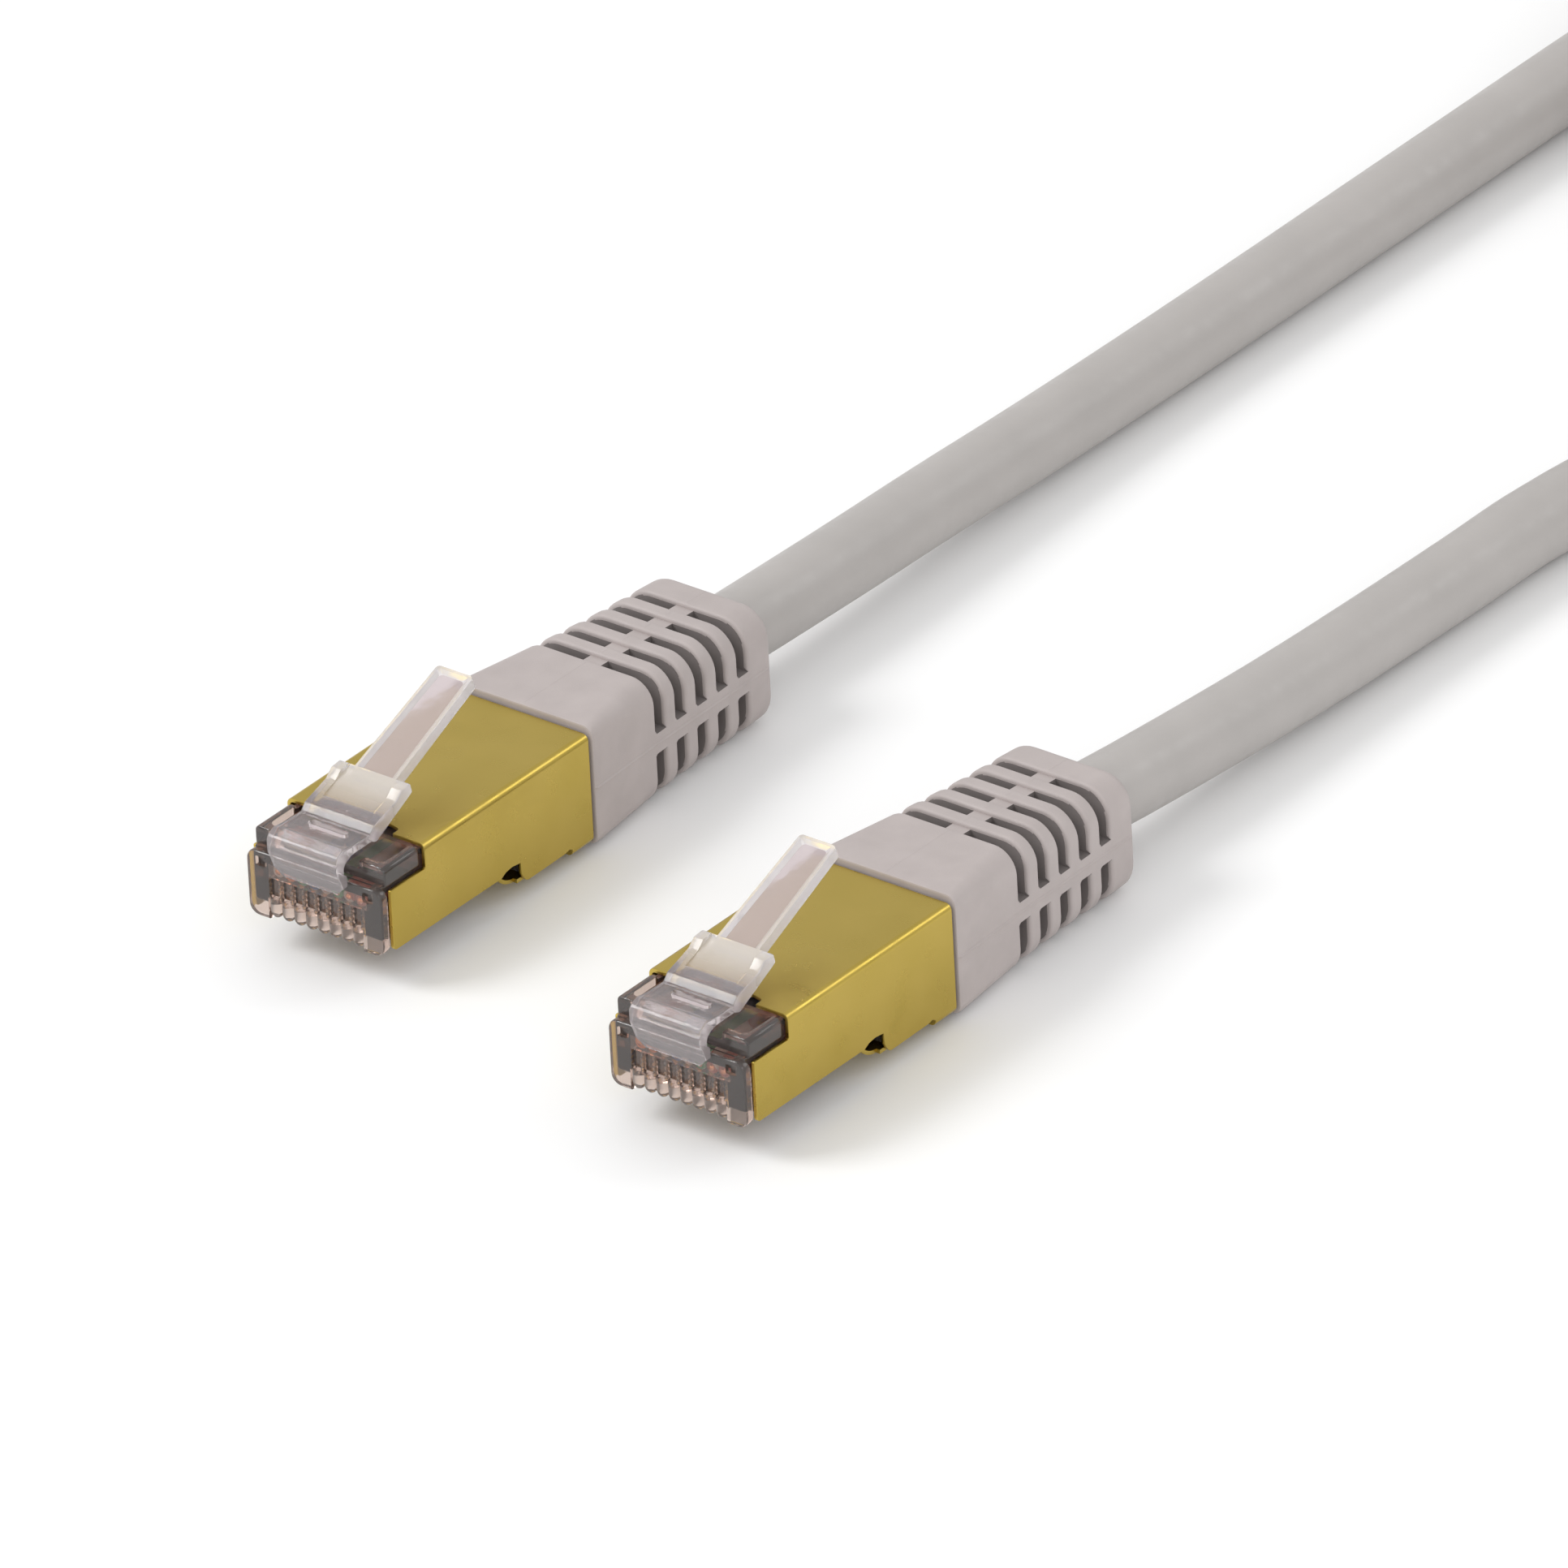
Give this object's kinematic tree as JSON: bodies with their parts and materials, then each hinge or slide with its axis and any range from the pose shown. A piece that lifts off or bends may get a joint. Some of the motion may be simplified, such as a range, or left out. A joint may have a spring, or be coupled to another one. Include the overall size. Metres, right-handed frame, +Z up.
{
  "type": "ethernet patch cable",
  "caption": "Shielded ethernet patch cable: modular plugs with clear latches, gold shields, grey ribbed boots and a round grey cable, spare length coiled.",
  "frame": {"origin": "centre of the base of the box around the two plugs, on the surface that the boots lie on", "axes": "+Z up from the surface, -Y the way both plug noses point, +X from plug a towards plug b"},
  "size_m": [0.0752, 0.2164, 0.0155],
  "materials": {
    "smoky_nose": "smoke-tinted clear polycarbonate",
    "clear_latch": "clear, slightly milky polycarbonate",
    "clear_guide": "clear moulded plastic",
    "gold_shield": "satin gold-plated sheet with faint handling marks",
    "gold_contact": "polished gold plating",
    "grey_boot": "matt moulded, warm grey",
    "cable_jacket": "soft satin extruded jacket, warm grey",
    "foil": "wrapped foil, crinkled",
    "braid": "tinned copper braid",
    "tie_strap": "woven hook-and-loop strap",
    "wire_white_orange": "white insulation with an orange tint",
    "wire_orange": "orange insulation",
    "wire_white_green": "white insulation with a green tint",
    "wire_blue": "blue insulation",
    "wire_white_blue": "white insulation with a blue tint",
    "wire_green": "green insulation",
    "wire_white_brown": "white insulation with a brown tint",
    "wire_brown": "brown insulation"
  },
  "bodies": {
    "plugs_and_cable": {"housing_a": "smoky_nose", "shield_a": "gold_shield", "wire_guide_a": "clear_guide", "boot_a": "grey_boot", "cable_core_a": "foil", "jacket_end_a": "cable_jacket", "braid_a": "braid", "crimp_ring_a": "gold_shield", "contact_a1": "gold_contact", "contact_a2": "gold_contact", "contact_a3": "gold_contact", "contact_a4": "gold_contact", "contact_a5": "gold_contact", "contact_a6": "gold_contact", "contact_a7": "gold_contact", "contact_a8": "gold_contact", "conductor_a1": "wire_white_orange", "conductor_a2": "wire_orange", "conductor_a3": "wire_white_green", "conductor_a4": "wire_blue", "conductor_a5": "wire_white_blue", "conductor_a6": "wire_green", "conductor_a7": "wire_white_brown", "conductor_a8": "wire_brown", "housing_b": "smoky_nose", "shield_b": "gold_shield", "wire_guide_b": "clear_guide", "boot_b": "grey_boot", "cable_core_b": "foil", "jacket_end_b": "cable_jacket", "braid_b": "braid", "crimp_ring_b": "gold_shield", "contact_b1": "gold_contact", "contact_b2": "gold_contact", "contact_b3": "gold_contact", "contact_b4": "gold_contact", "contact_b5": "gold_contact", "contact_b6": "gold_contact", "contact_b7": "gold_contact", "contact_b8": "gold_contact", "conductor_b1": "wire_white_orange", "conductor_b2": "wire_orange", "conductor_b3": "wire_white_green", "conductor_b4": "wire_blue", "conductor_b5": "wire_white_blue", "conductor_b6": "wire_green", "conductor_b7": "wire_white_brown", "conductor_b8": "wire_brown", "lead_a": "cable_jacket", "lead_b": "cable_jacket", "coil": "cable_jacket", "coil_tie": "tie_strap"},
    "latch_a": {"latch_a": "clear_latch"},
    "latch_b": {"latch_b": "clear_latch"}
  },
  "joints": [
    {"name": "latch_press_a", "type": "hinge", "parent": "plugs_and_cable", "child": "latch_a", "pos_m": [-0.01745, -0.0196, 0.00815], "axis": [1, 0, 0], "range_deg": [-9, 0], "stiffness_Nm_per_rad": 0.1},
    {"name": "latch_press_b", "type": "hinge", "parent": "plugs_and_cable", "child": "latch_b", "pos_m": [0.01745, -0.02436, 0.00815], "axis": [1, 0, 0], "range_deg": [-9, 0], "stiffness_Nm_per_rad": 0.1}
  ]
}
